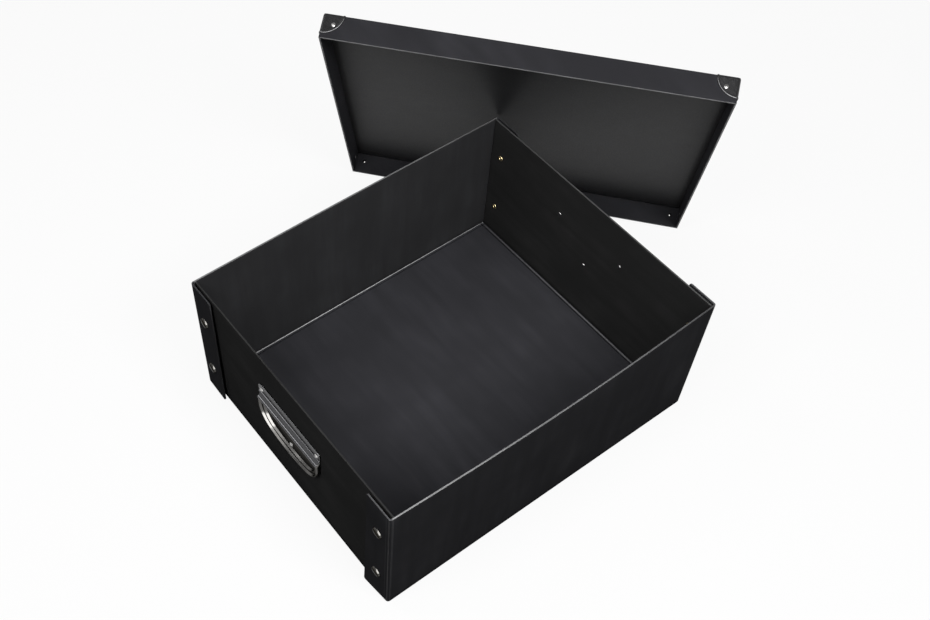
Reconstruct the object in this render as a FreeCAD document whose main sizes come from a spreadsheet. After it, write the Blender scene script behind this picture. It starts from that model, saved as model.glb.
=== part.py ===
import FreeCAD, Part
import math
import operator
import os

import Sketcher

# A cardboard storage box for papers. One creased blank makes the floor and the four walls. The long
# walls end in flaps that wrap round the corners, outside the end walls, and press studs hold them
# there. Each end wall carries a pressed steel handle. The lid is off: it stands on its long edge
# behind the box and leans on the rear left corner.
#
# X runs across the box, Y along it towards the rear, Z up. The origin is the centre of the underside.

# Driving sizes in millimetres, angles in degrees
SIZES = {
    # The blank
    "box_width": 330.0,
    "box_length": 400.0,
    "box_height": 170.0,
    "board": 1.8,
    "corner_inside": 1.2,
    "crease_land": 0.1,
    "crease_clearance": 0.1,
    "side_clearance": 0.6,
    "flap_width": 35.0,
    "flap_corner": 3.0,
    # Press studs at the corners
    "stud_inset": 17.5,
    "lower_stud_height": 43.0,
    "upper_stud_height": 122.0,
    "stud_gap": 2.4,
    "cap_diameter": 12.5,
    "cap_edge": 0.6,
    "cap_dome": 1.6,
    "shank_diameter": 4.0,
    "socket_diameter": 10.5,
    "socket_depth": 1.3,
    "snap_clearance": 0.4,
    "ball_diameter": 4.6,
    "ball_reach": 1.8,
    "post_diameter": 8.4,
    "post_flange": 0.4,
    "eyelet_diameter": 6.6,
    "eyelet_rise": 0.6,
    "eyelet_tube": 4.4,
    "eyelet_bore": 3.0,
    "stud_bevel": 0.3,
    "rivet_fit": 0.05,
    # Handle on each end wall
    "handle_height": 118.0,
    "rivet_spacing": 94.0,
    "rivet_diameter": 3.0,
    "rivet_head": 5.4,
    "rivet_rise": 1.3,
    "tail_diameter": 4.8,
    "tail_rise": 0.7,
    "strip_length": 105.0,
    "strip_sheet": 0.9,
    "strip_margin": 8.0,
    "strip_corner": 6.0,
    "flange_drop": 5.5,
    "bead_rise": 1.5,
    "bead_height": 2.0,
    "groove_depth": 0.7,
    "groove_height": 1.2,
    "grip_reach": 5.2,
    "grip_height": 2.0,
    "lip_height": 2.3,
    "lip_trim": 2.5,
    "trim_height": 12.0,
    "plate_width": 102.0,
    "plate_sheet": 0.8,
    "plate_tuck": 2.0,
    "plate_drop": 54.0,
    "plate_corner": 26.0,
    "plate_bow": 4.0,
    "rim_width": 5.0,
    "rim_rise": 2.6,
    "rim_gap": 1.5,
    "plate_rivet_drop": 42.0,
    # Lid
    "lid_clearance": 2.2,
    "skirt_depth": 27.0,
    "lid_crease": 1.2,
    "corner_reach": 22.0,
    "corner_sheet": 0.6,
    "corner_rivet_inset": 12.0,
    "corner_rivet_drop": 11.5,
    "lid_rivet_head": 4.6,
    "lid_rivet_rise": 1.0,
    # Where the lid leans
    "lid_turn_angle": 39.8,
    "lid_lean_angle": 22.0,
    "lid_shift": 24.5,
    "lean_clearance": 0.3,
}

OPERATIONS = {"+": operator.add, "-": operator.sub, "*": operator.mul, "/": operator.truediv}


class Formula:
    """A size that carries its number and the sheet expression that gives it."""

    def __init__(self, number, text):
        self.number = number
        self.text = text

    def __add__(self, other):
        return combine(self, "+", other)

    def __radd__(self, other):
        return combine(other, "+", self)

    def __sub__(self, other):
        return combine(self, "-", other)

    def __rsub__(self, other):
        return combine(other, "-", self)

    def __mul__(self, other):
        return combine(self, "*", other)

    def __rmul__(self, other):
        return combine(other, "*", self)

    def __truediv__(self, other):
        return combine(self, "/", other)

    def __neg__(self):
        return combine(0, "-", self)


def cosine(angle):
    return Formula(math.cos(math.radians(angle.number)), f"cos({angle.text} * 1deg)")


def sine(angle):
    return Formula(math.sin(math.radians(angle.number)), f"sin({angle.text} * 1deg)")


def formula(value):
    return value if isinstance(value, Formula) else Formula(float(value), repr(float(value)))


def combine(left, sign, right):
    left, right = formula(left), formula(right)
    return Formula(OPERATIONS[sign](left.number, right.number), f"({left.text} {sign} {right.text})")


class Dimensions:
    """The driving sizes by name, each a Formula that points at its cell."""

    def __init__(self, sizes, sheet):
        for row, (name, value) in enumerate(sizes.items(), start=1):
            sheet.set(f"A{row}", name)
            sheet.set(f"B{row}", str(value))
            sheet.setAlias(f"B{row}", name)
            setattr(self, name, Formula(value, f"{sheet.Name}.{name}"))


doc = FreeCAD.newDocument("storage_box")
sheet = doc.addObject("Spreadsheet::Sheet", "Sizes")
d = Dimensions(SIZES, sheet)
doc.recompute()
pieces = []

# Places worked out from the driving sizes
half_width = d.box_width / 2
half_length = d.box_length / 2
corner_round = d.corner_inside + d.board
crease_round = d.board - d.crease_land
end_inner = half_length - 2 * d.board - d.stud_gap
end_outer = end_inner + d.board
stud_across = half_width - d.stud_inset
lid_long = d.box_length + 2 * (d.lid_clearance + d.board)
lid_short = d.box_width + 2 * (d.lid_clearance + d.board)
rivet_radius = d.rivet_diameter / 2
rivet_hole = rivet_radius + d.rivet_fit


def vector(across, up):
    return FreeCAD.Vector(formula(across).number, formula(up).number, 0)


def bind(thing, name, value):
    """Ties a property or constraint to the sheet."""
    thing.setExpression(name, formula(value).text)


def new_body(label):
    body = doc.addObject("PartDesign::Body", label)
    body.Label = label
    pieces.append(body)
    return body


def origin_feature(body, role):
    return next(part for part in body.Origin.OriginFeatures if part.Role == role)


def new_sketch(body, plane, name, lift=None):
    """A sketch on one of the body's own planes, lifted along the plane's normal where asked."""
    sketch = body.newObject("Sketcher::SketchObject", name)
    sketch.AttachmentSupport = [(origin_feature(body, plane), "")]
    sketch.MapMode = "FlatFace"
    if lift is not None:
        sketch.AttachmentOffset = FreeCAD.Placement(FreeCAD.Vector(0, 0, lift.number), FreeCAD.Rotation())
        bind(sketch, "AttachmentOffset.Base.z", lift)
    return sketch


def pin_point(sketch, index, end, across, up):
    """Dimensions a point from the sketch's origin."""
    for kind, value in (("DistanceX", across), ("DistanceY", up)):
        made = sketch.addConstraint(Sketcher.Constraint(kind, -1, 1, index, end, formula(value).number))
        bind(sketch, f"Constraints[{made}]", value)


def pin_radius(sketch, index, radius):
    made = sketch.addConstraint(Sketcher.Constraint("Radius", index, formula(radius).number))
    bind(sketch, f"Constraints[{made}]", radius)


def arc_between(start, end, centre):
    """The arc that runs counter-clockwise from start to end."""
    circle = Part.Circle(centre, FreeCAD.Vector(0, 0, 1), (start - centre).Length)
    first = math.atan2(start.y - centre.y, start.x - centre.x)
    last = math.atan2(end.y - centre.y, end.x - centre.x)
    return Part.ArcOfCircle(circle, first, last if last > first else last + 2 * math.pi)


def draw(sketch, corners, closed=True):
    """Draws a counter-clockwise outline. A corner is (across, up), and starts a straight edge, or
    (across, up, radius, centre across, centre up, turn), and starts an arc: turn 1 goes on
    counter-clockwise and turn -1 clockwise."""
    ends = []
    following = corners[1:] + corners[:1]
    spans = list(zip(corners, following))
    if not closed:
        spans.pop()
    for corner, after in spans:
        start, end = vector(*corner[:2]), vector(*after[:2])
        turn = corner[5] if len(corner) > 2 else 0
        if turn == 0:
            index = sketch.addGeometry(Part.LineSegment(start, end))
        else:
            centre = vector(*corner[3:5])
            index = sketch.addGeometry(arc_between(*((start, end) if turn > 0 else (end, start)), centre))
            pin_radius(sketch, index, corner[2])
        ends.append((index, 1, 2) if turn >= 0 else (index, 2, 1))
    for (corner, _), (index, first, _) in zip(spans, ends):
        pin_point(sketch, index, first, *corner[:2])
    joints = list(zip(ends, ends[1:]))
    if closed:
        joints.append((ends[-1], ends[0]))
    else:
        pin_point(sketch, ends[-1][0], ends[-1][2], *corners[-1][:2])
    for (index, _, last), (after, first, _) in joints:
        sketch.addConstraint(Sketcher.Constraint("Coincident", index, last, after, first))


def draw_holes(sketch, centres, radius):
    for across, up in centres:
        circle = Part.Circle(vector(across, up), FreeCAD.Vector(0, 0, 1), formula(radius).number)
        index = sketch.addGeometry(circle)
        pin_point(sketch, index, 3, across, up)
        pin_radius(sketch, index, radius)


def rectangle(left, low, right, high):
    return [(left, low), (right, low), (right, high), (left, high)]


def mirrored(corners):
    """The outline's mirror image across the sketch's vertical axis."""
    flipped = []
    for across, up, *arc in corners:
        if arc:
            radius, centre_across, centre_up, turn = arc
            arc = [radius, -centre_across, centre_up, -turn]
        flipped.append((-across, up, *arc))
    return flipped


def pad(body, sketch, length, name="sheet", reverse=False, midplane=False):
    feature = body.newObject("PartDesign::Pad", name)
    feature.Profile = sketch
    bind(feature, "Length", length)
    feature.Reversed = reverse
    feature.Midplane = midplane
    doc.recompute()
    return feature


def cut_through(body, sketch, name="cut"):
    feature = body.newObject("PartDesign::Pocket", name)
    feature.Profile = sketch
    feature.Type = "ThroughAll"
    feature.Midplane = True
    doc.recompute()


def revolve(body, sketch, name="turned"):
    feature = body.newObject("PartDesign::Revolution", name)
    feature.Profile = sketch
    feature.ReferenceAxis = (sketch, ["V_Axis"])
    feature.Angle = 360
    doc.recompute()
    return feature


def repeat(body, feature, axis, length):
    """A second copy of the feature, length away along one of the body's axes."""
    pattern = body.newObject("PartDesign::LinearPattern", "pair")
    pattern.Originals = [feature]
    pattern.Direction = (origin_feature(body, axis), [""])
    bind(pattern, "Length", length)
    pattern.Occurrences = 2
    body.Tip = pattern


def edges_where(shape, test):
    """Names of the edges whose ends and middle all pass the test."""
    names = []
    for number, edge in enumerate(shape.Edges, start=1):
        middle = edge.valueAt((edge.FirstParameter + edge.LastParameter) / 2)
        if all(test(point) for point in [middle] + [vertex.Point for vertex in edge.Vertexes]):
            names.append(f"Edge{number}")
    return names


def near(value, target):
    return abs(value - formula(target).number) < 1e-4


def soften(body, feature, names, radius, name="fold"):
    fillet = body.newObject("PartDesign::Fillet", name)
    fillet.Base = (feature, names)
    bind(fillet, "Radius", radius)
    doc.recompute()


def place(body, across, along, up, turn=0):
    """Puts a body at a point of the box, turned about the vertical."""
    where = [formula(value) for value in (across, along, up)]
    base = FreeCAD.Vector(*[value.number for value in where])
    body.Placement = FreeCAD.Placement(base, FreeCAD.Rotation(FreeCAD.Vector(0, 0, 1), turn))
    for axis, value in zip("xyz", where):
        bind(body, f"Placement.Base.{axis}", value)


def place_at_end(body, end, across, along, up):
    """Pieces of an end are drawn for the rear, facing +Y, and the front ones are turned right round."""
    side = 1 if end == "rear" else -1
    place(body, side * across, side * along, up, 0 if end == "rear" else 180)


# The blank
def floor_panel():
    body = new_body("floor_panel")
    sketch = new_sketch(body, "XY_Plane", "outline")
    across, along = half_width - d.board, end_inner - d.crease_clearance
    draw(sketch, rectangle(-across, -along, across, along))
    pad(body, sketch, d.board)


def side_wall(side):
    """A long wall, which stands on the floor's edge and ends where the flaps turn the corners."""
    body = new_body(f"{side}_side_wall")
    sketch = new_sketch(body, "YZ_Plane", "outline")
    reach = half_length - corner_round
    draw(sketch, rectangle(-reach, 0, reach, d.box_height))
    wall = pad(body, sketch, d.board)
    fold = edges_where(wall.Shape, lambda point: near(point.x, d.board) and near(point.z, 0))
    soften(body, wall, fold, crease_round)
    sign = 1 if side == "right" else -1
    place(body, sign * (half_width - d.board), 0, 0, 0 if side == "right" else 180)


def end_wall(end):
    body = new_body(f"{end}_end_wall")
    sketch = new_sketch(body, "XZ_Plane", "outline")
    across = half_width - d.board - d.side_clearance
    draw(sketch, rectangle(-across, 0, across, d.box_height))
    heights = (d.lower_stud_height, d.upper_stud_height)
    studs = [(side * stud_across, up) for side in (-1, 1) for up in heights]
    draw_holes(sketch, studs, d.eyelet_tube / 2 + d.rivet_fit)
    rivets = [(side * d.rivet_spacing / 2, d.handle_height) for side in (-1, 1)]
    rivets.append((0, d.handle_height - d.plate_rivet_drop))
    draw_holes(sketch, rivets, rivet_hole)
    wall = pad(body, sketch, d.board, reverse=True)
    fold = edges_where(wall.Shape, lambda point: near(point.z, 0) and near(point.y, d.board))
    soften(body, wall, fold, crease_round)
    place_at_end(body, end, 0, end_inner, 0)


def flap(end, side):
    """A corner flap with its fold, drawn from the box's outer corner towards its free edge."""
    body = new_body(f"{end}_{side}_flap")
    sketch = new_sketch(body, "XY_Plane", "profile")
    free = -d.flap_width
    profile = [
        (0, -corner_round, corner_round, -corner_round, -corner_round, 1),
        (-corner_round, 0),
        (free, 0),
        (free, -d.board),
        (-corner_round, -d.board, d.corner_inside, -corner_round, -corner_round, -1),
        (-d.board, -corner_round),
    ]
    plain = (side == "right") == (end == "rear")
    draw(sketch, profile if plain else mirrored(profile))
    sheet_feature = pad(body, sketch, d.box_height)

    def free_corner(point):
        return near(abs(point.x), d.flap_width) and (near(point.z, 0) or near(point.z, d.box_height))

    soften(body, sheet_feature, edges_where(sheet_feature.Shape, free_corner), d.flap_corner, "corners")
    sign = 1 if plain else -1
    holes = new_sketch(body, "XZ_Plane", "holes")
    stud = -sign * d.stud_inset
    studs = [(stud, d.lower_stud_height), (stud, d.upper_stud_height)]
    draw_holes(holes, studs, d.shank_diameter / 2 + d.rivet_fit)
    cut_through(body, holes)
    place_at_end(body, end, sign * half_width, half_length, 0)


# Press studs
def dome(radius, foot, rise):
    """The corners of a domed top of the given foot radius, from its rim up to the axis."""
    bend = (radius * radius + rise * rise) / (2 * rise)
    return [(radius, foot, bend, 0, foot + rise - bend, 1), (0, foot + rise)]


def stud_pair(end, side, kind, corners, along):
    """Two equal turned pieces, one above the other, on the axes of a corner's press studs."""
    body = new_body(f"{end}_{side}_{kind}")
    sketch = new_sketch(body, "XY_Plane", "profile")
    draw(sketch, corners)
    repeat(body, revolve(body, sketch), "Z_Axis", d.upper_stud_height - d.lower_stud_height)
    sign = 1 if (side == "right") == (end == "rear") else -1
    place_at_end(body, end, sign * stud_across, along, d.lower_stud_height)


def stud_caps(end, side):
    shank, rim = d.shank_diameter / 2, d.cap_diameter / 2
    corners = [(0, -d.board), (shank, -d.board), (shank, 0), (rim, 0)] + dome(rim, d.cap_edge, d.cap_dome)
    stud_pair(end, side, "stud_caps", corners, half_length)


def stud_sockets(end, side):
    bore, rim = d.ball_diameter / 2 + d.snap_clearance, d.socket_diameter / 2
    face = -d.socket_depth
    corners = [(bore, face), (rim - d.stud_bevel, face), (rim, face + d.stud_bevel), (rim, 0), (bore, 0)]
    stud_pair(end, side, "stud_sockets", corners, half_length - d.board)


def stud_posts(end, side):
    ball, rim = d.ball_diameter / 2, d.post_diameter / 2
    tip = d.ball_reach
    corners = [(0, 0), (rim, 0), (rim, d.post_flange), (ball, d.post_flange),
               (ball, tip - d.stud_bevel), (ball - d.stud_bevel, tip), (0, tip)]
    stud_pair(end, side, "stud_posts", corners, end_outer)


def stud_eyelets(end, side):
    bore, tube, rim = d.eyelet_bore / 2, d.eyelet_tube / 2, d.eyelet_diameter / 2
    face = -d.eyelet_rise
    corners = [(bore, face), (rim - d.stud_bevel, face), (rim, face + d.stud_bevel), (rim, 0),
               (tube, 0), (tube, d.board), (bore, d.board)]
    stud_pair(end, side, "stud_eyelets", corners, end_inner)


# Handles
strip_top = d.strip_margin
strip_low = -(d.flange_drop + d.bead_height + d.groove_height + d.grip_height + d.lip_height)


def finger_plate(end):
    """A half moon plate behind the fingers, with a rolled rim round its lower edge."""
    body = new_body(f"{end}_finger_plate")
    sketch = new_sketch(body, "XZ_Plane", "outline")
    top, low = strip_top - d.plate_tuck, -d.plate_drop

    def moon(inset):
        """The lower edge at an inset, from the left side round to the right one."""
        half, corner = d.plate_width / 2 - inset, d.plate_corner - inset
        centre = half - corner
        height = low + d.plate_corner + d.plate_bow
        sweep = (centre * centre + d.plate_bow * d.plate_bow) / (2 * d.plate_bow) + corner
        bottom = low + inset + sweep
        lean = (bottom - height) / (sweep - corner)
        spread = centre * sweep / (sweep - corner)
        touch = bottom - lean * sweep
        return [(-half, height, corner, -centre, height, 1), (-spread, touch, sweep, 0, bottom, 1),
                (spread, touch, corner, centre, height, 1), (half, height)]

    draw(sketch, moon(0) + [(d.plate_width / 2, top), (-d.plate_width / 2, top)])
    rivets = [(side * d.rivet_spacing / 2, 0) for side in (-1, 1)] + [(0, -d.plate_rivet_drop)]
    draw_holes(sketch, rivets, rivet_hole)
    pad(body, sketch, d.plate_sheet, reverse=True)

    half, middle = d.rim_width / 2, d.plate_width / 2 - d.rim_width / 2
    rim_top = strip_low - d.rim_gap
    spine = new_sketch(body, "XZ_Plane", "rim_path")
    draw(spine, [(-middle, rim_top)] + moon(half) + [(middle, rim_top)], closed=False)
    section = new_sketch(body, "XY_Plane", "rim_section", lift=rim_top)
    bend = (half * half + d.rim_rise * d.rim_rise) / (2 * d.rim_rise)
    crown = d.plate_sheet + d.rim_rise - bend
    draw(section, [
        (-middle - half, d.plate_sheet / 2),
        (half - middle, d.plate_sheet / 2),
        (half - middle, d.plate_sheet, bend, -middle, crown, 1),
        (-middle - half, d.plate_sheet),
    ])
    pipe = body.newObject("PartDesign::AdditivePipe", "rim")
    pipe.Profile = section
    pipe.Spine = (spine, [f"Edge{number}" for number in range(1, 6)])
    place_at_end(body, end, 0, end_outer, d.handle_height)


def grip_strip(end):
    """The pressed strip that the fingers pull on: a riveted flange, a bead, a groove and a lip."""
    body = new_body(f"{end}_grip_strip")
    sketch = new_sketch(body, "YZ_Plane", "profile")
    sheet_back, sheet_face = 0, d.strip_sheet
    bead = sheet_face + d.bead_rise
    groove = bead - d.groove_depth
    levels = [strip_top, -d.flange_drop]
    for step in (d.bead_height, d.groove_height, d.grip_height, d.lip_height):
        levels.append(levels[-1] - step)
    draw(sketch, [
        (sheet_face, levels[0]),
        (sheet_back, levels[0]),
        (sheet_back, levels[1] - d.strip_sheet),
        (bead - d.strip_sheet, levels[2] - d.strip_sheet),
        (groove - d.strip_sheet, levels[3] - d.strip_sheet),
        (d.grip_reach - d.strip_sheet, levels[4] - d.strip_sheet),
        (d.grip_reach - d.strip_sheet, levels[5]),
        (d.grip_reach, levels[5]),
        (d.grip_reach, levels[4]),
        (groove, levels[3]),
        (bead, levels[2]),
        (sheet_face, levels[1]),
    ])
    strip = pad(body, sketch, d.strip_length, midplane=True)
    half = d.strip_length / 2
    top = edges_where(strip.Shape, lambda point: near(abs(point.x), half) and near(point.z, strip_top))
    soften(body, strip, top, d.strip_corner, "corners")
    trim = new_sketch(body, "XZ_Plane", "trim")
    for side in (-1, 1):
        slope = [(side * half, strip_low), (side * half, strip_low + d.trim_height),
                 (side * (half - d.lip_trim), strip_low)]
        draw(trim, slope if side > 0 else slope[::-1])
    draw_holes(trim, [(side * d.rivet_spacing / 2, 0) for side in (-1, 1)], rivet_hole)
    cut_through(body, trim, "trimmed_ends")
    place_at_end(body, end, 0, end_outer + d.plate_sheet, d.handle_height)


def rivet_profile(grip, head, rise):
    """A rivet whose head stands on the +Y side of a stack as thick as grip."""
    tail, end = d.tail_diameter / 2, -(grip + d.tail_rise)
    return [(0, end), (tail, end), (tail, -grip), (rivet_radius, -grip), (rivet_radius, 0)] \
        + dome(head / 2, 0, rise)


def grip_rivets(end):
    body = new_body(f"{end}_grip_rivets")
    sketch = new_sketch(body, "XY_Plane", "profile")
    stack = d.board + d.plate_sheet + d.strip_sheet
    draw(sketch, rivet_profile(stack, d.rivet_head, d.rivet_rise))
    repeat(body, revolve(body, sketch), "X_Axis", d.rivet_spacing)
    place_at_end(body, end, -d.rivet_spacing / 2, end_inner + stack, d.handle_height)


def plate_rivet(end):
    body = new_body(f"{end}_plate_rivet")
    sketch = new_sketch(body, "XY_Plane", "profile")
    stack = d.board + d.plate_sheet
    draw(sketch, rivet_profile(stack, d.rivet_head, d.rivet_rise))
    revolve(body, sketch)
    place_at_end(body, end, 0, end_inner + stack, d.handle_height - d.plate_rivet_drop)


# Lid. It is drawn lying flat: X along its length towards the rear, Y towards the left, Z up, with the
# origin at the middle of its top face.
def lid_pose():
    """The lid turned, leant over and slid until its lower rim meets the floor and its inside just clears
    the box's rear left corner, as a placement expression."""
    turn_cos, turn_sin = cosine(d.lid_turn_angle), sine(d.lid_turn_angle)
    lean_cos, lean_sin = cosine(d.lid_lean_angle), sine(d.lid_lean_angle)
    corner_x, corner_y = corner_round - half_width, half_length - corner_round
    along = corner_x * turn_cos + corner_y * turn_sin + d.lid_shift
    height = lid_short / 2 * lean_cos + d.skirt_depth * lean_sin
    corner_away = corner_y * turn_cos - corner_x * turn_sin + corner_round
    touch = corner_away * lean_cos + d.box_height * lean_sin
    away = (touch + d.board + d.lean_clearance - height * lean_sin) / lean_cos
    middle = (along * turn_cos - away * turn_sin, along * turn_sin + away * turn_cos, height)
    spot = "; ".join(value.text for value in middle)
    turned = f"rotationz({d.lid_turn_angle.text}) * rotationx({d.lid_lean_angle.text} - 90)"
    return f"placement(vector({spot}); {turned})"


def place_on_lid(piece, along, across, turn, shift=(0, 0)):
    """Puts a piece at a point of the lid's top face, turned about the lid's upright axis, and then shifts
    it along its own axes."""
    spot = f"placement(vector({formula(along).text}; {formula(across).text}; 0); rotationz({turn}))"
    slide = f"placement(vector({formula(shift[0]).text}; {formula(shift[1]).text}; 0); rotationz(0))"
    piece.setExpression("Placement", f"{lid_pose()} * {spot} * {slide}")


# Each side of the lid: its name, how far it is from the middle, and the turn that faces it outwards
LID_SIDES = {
    "left": (0, lid_short / 2, 0),
    "right": (0, -lid_short / 2, 180),
    "rear": (lid_long / 2, 0, -90),
    "front": (-lid_long / 2, 0, 90),
}


def lid_panel():
    body = new_body("lid_panel")
    sketch = new_sketch(body, "XY_Plane", "outline")
    along, across = lid_long / 2 - d.board, lid_short / 2 - d.board
    draw(sketch, rectangle(-along, -across, along, across))
    pad(body, sketch, d.board, reverse=True)
    place_on_lid(body, 0, 0, 0)


def lid_skirt(side):
    """One turned-down side, drawn with its outside at Y = 0. The long pair runs right to the corners."""
    body = new_body(f"lid_{side}_skirt")
    is_long = side in ("left", "right")
    half = lid_long / 2 if is_long else lid_short / 2 - d.board
    reach = lid_long / 2 if is_long else lid_short / 2
    sketch = new_sketch(body, "XZ_Plane", "outline")
    draw(sketch, rectangle(-half, -d.skirt_depth, half, 0))
    rivet = reach - d.corner_rivet_inset
    draw_holes(sketch, [(-rivet, -d.corner_rivet_drop), (rivet, -d.corner_rivet_drop)], rivet_hole)
    wall = pad(body, sketch, d.board)

    def folded(point):
        faces = [near(point.y, 0), near(point.z, 0), is_long and near(abs(point.x), half)]
        return sum(faces) >= 2

    soften(body, wall, edges_where(wall.Shape, folded), d.lid_crease)
    place_on_lid(body, *LID_SIDES[side])


def lid_rivets(side):
    body = new_body(f"lid_{side}_rivets")
    sketch = new_sketch(body, "XY_Plane", "profile", lift=-d.corner_rivet_drop)
    stack = d.board + d.corner_sheet
    corners = rivet_profile(stack, d.lid_rivet_head, d.lid_rivet_rise)
    draw(sketch, corners)
    reach = lid_long / 2 if side in ("left", "right") else lid_short / 2
    spread = 2 * (reach - d.corner_rivet_inset)
    repeat(body, revolve(body, sketch), "X_Axis", spread)
    place_on_lid(body, *LID_SIDES[side], shift=(-spread / 2, d.corner_sheet))


def rounded_block(name, low, high, radius):
    """A cube from low to high on all three axes, with the three edges at its high corner rounded."""
    body = doc.addObject("PartDesign::Body", name)
    sketch = new_sketch(body, "XY_Plane", "outline", lift=low)
    draw(sketch, rectangle(low, low, high, high))
    cube = pad(body, sketch, high - low)
    corner = edges_where(cube.Shape, lambda point: sum(near(value, high) for value in point) > 1)
    soften(body, cube, corner, radius, "rounded")
    return body


def combine_shapes(kind, name, base, tool):
    made = doc.addObject(f"Part::{kind}", name)
    made.Base, made.Tool = base, tool
    doc.recompute()
    return made


def corner_hole(name, along_x):
    """A drill through one face of a lid corner, for its rivet."""
    drill = doc.addObject("Part::Cylinder", name)
    bind(drill, "Radius", rivet_hole)
    bind(drill, "Height", 4 * d.corner_sheet)
    axis = FreeCAD.Vector(0, 1, 0) if along_x else FreeCAD.Vector(1, 0, 0)
    drill.Placement.Rotation = FreeCAD.Rotation(axis, 90 if along_x else -90)
    across, face = ("y", "x") if along_x else ("x", "y")
    bind(drill, f"Placement.Base.{across}", -d.corner_rivet_inset)
    bind(drill, f"Placement.Base.{face}", -2 * d.corner_sheet)
    bind(drill, "Placement.Base.z", -d.corner_rivet_drop)
    return drill


def lid_corner(name, along, across, turn):
    """A pressed cap over a corner of the lid, with a quarter round on each of its three faces."""
    label = f"lid_{name}_corner"
    bend = d.lid_crease + d.corner_sheet
    outside = rounded_block(f"{label}_outside", -d.corner_reach, d.corner_sheet, bend)
    inside = rounded_block(f"{label}_inside", -2 * d.corner_reach, formula(0), d.lid_crease)
    shell = combine_shapes("Cut", f"{label}_shell", outside, inside)
    ball = doc.addObject("Part::Sphere", f"{label}_ball")
    bind(ball, "Radius", d.corner_reach)
    rounded = combine_shapes("Common", f"{label}_rounded", shell, ball)
    for face in (True, False):
        drill = corner_hole(f"{label}_drill_{'x' if face else 'y'}", face)
        rounded = combine_shapes("Cut", f"{label}_drilled_{'x' if face else 'y'}", rounded, drill)
    rounded.Label = label
    pieces.append(rounded)
    place_on_lid(rounded, along, across, turn)


def build():
    floor_panel()
    side_wall("left")
    side_wall("right")
    for end in ("front", "rear"):
        end_wall(end)
        finger_plate(end)
        grip_strip(end)
        grip_rivets(end)
        plate_rivet(end)
        for side in ("left", "right"):
            flap(end, side)
            for stud_piece in (stud_caps, stud_sockets, stud_posts, stud_eyelets):
                stud_piece(end, side)
    lid_panel()
    for side in LID_SIDES:
        lid_skirt(side)
        lid_rivets(side)
    lid_corner("rear_left", lid_long / 2, lid_short / 2, 0)
    lid_corner("front_left", -lid_long / 2, lid_short / 2, 90)
    lid_corner("front_right", -lid_long / 2, -lid_short / 2, 180)
    lid_corner("rear_right", lid_long / 2, -lid_short / 2, -90)
    doc.recompute()


def check():
    for thing in doc.Objects:
        if "Invalid" in thing.State or "Error" in thing.State:
            raise RuntimeError(f"{thing.Label} failed: {thing.State}")
    for piece in pieces:
        if piece.Shape.isNull() or not piece.Shape.isValid() or not piece.Shape.Solids:
            raise RuntimeError(f"{piece.Label} has no valid solid")


def write():
    os.makedirs("parts", exist_ok=True)
    for piece in pieces:
        piece.Shape.exportStep(f"parts/{piece.Label}.step")
        count, volume = len(piece.Shape.Solids), piece.Shape.Volume
        print(f"{piece.Label}: {count} solids, {volume:.1f} mm3")


build()
check()
write()
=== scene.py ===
# %% [markdown]
# A black board storage box
#
# The box is cut and folded from one sheet of board and pressed together at its corners with studs. Its lid
# leans on the far corner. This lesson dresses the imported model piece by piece. Every new piece is a surface
# worked out as an array of points, so its formula is all there is to change.

import bpy
import numpy as np
from mathutils import Matrix, Vector


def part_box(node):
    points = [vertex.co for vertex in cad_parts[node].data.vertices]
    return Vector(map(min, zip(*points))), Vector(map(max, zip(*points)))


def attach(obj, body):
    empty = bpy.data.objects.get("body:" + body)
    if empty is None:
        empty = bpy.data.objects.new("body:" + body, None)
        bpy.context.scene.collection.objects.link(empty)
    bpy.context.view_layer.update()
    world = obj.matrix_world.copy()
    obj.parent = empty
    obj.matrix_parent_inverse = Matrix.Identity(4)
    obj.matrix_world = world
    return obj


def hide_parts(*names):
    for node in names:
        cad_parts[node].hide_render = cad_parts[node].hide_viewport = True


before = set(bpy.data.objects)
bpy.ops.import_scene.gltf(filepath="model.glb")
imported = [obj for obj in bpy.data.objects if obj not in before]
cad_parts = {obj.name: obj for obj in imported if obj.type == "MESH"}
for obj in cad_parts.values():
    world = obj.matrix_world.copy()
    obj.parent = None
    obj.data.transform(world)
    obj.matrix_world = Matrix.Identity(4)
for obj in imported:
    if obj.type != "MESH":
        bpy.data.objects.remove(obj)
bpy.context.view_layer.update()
MM = 0.001
X, Y, Z = np.eye(3)

# %% [markdown]
# From arrays to meshes
#
# The pieces are thin sheets and small turned fittings. They could be modelled by hand, or cut from plain
# blocks with modifiers. Here each one is an array of points in the box's own frame and a few arrays of
# faces, because then a whole shape is one formula. The helpers number the cells of a grid, close a ring on
# to a tip, and store one more number per point, for wear and painted light. The finishes read it to tell a
# rubbed or painted-highlight edge and a crease of painted shade from a flat face.

# %% Grids and rings
def quads(index):
    """Faces of a grid of point numbers: each cell joins a point to its next neighbours in both
    directions."""
    cells = np.stack([index[:-1, :-1], index[1:, :-1], index[1:, 1:], index[:-1, 1:]], axis=-1)
    return cells.reshape(-1, 4)


def fan(ring, tip):
    """Triangles from each pair of neighbours in a ring of point numbers to one tip."""
    return np.stack([ring[:-1], ring[1:], np.full(len(ring) - 1, tip)], axis=1)


def turn_over(groups):
    """The same faces, looking the other way."""
    return [group[:, ::-1] for group in groups]


def join(shapes):
    """Puts several shapes into one: each shape's point numbers move past those of the shapes before it."""
    starts = np.cumsum([0] + [len(points) for points, _, _ in shapes])
    groups = [group + start for (_, faces, _), start in zip(shapes, starts) for group in faces]
    return (np.concatenate([points for points, _, _ in shapes]), groups,
            np.concatenate([wear_and_painted_light for _, _, wear_and_painted_light in shapes]))


print("a grid of 3 by 4 points has", len(quads(np.arange(12).reshape(3, 4))), "cells")

# %% A finished piece
dressed = set()


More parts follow.
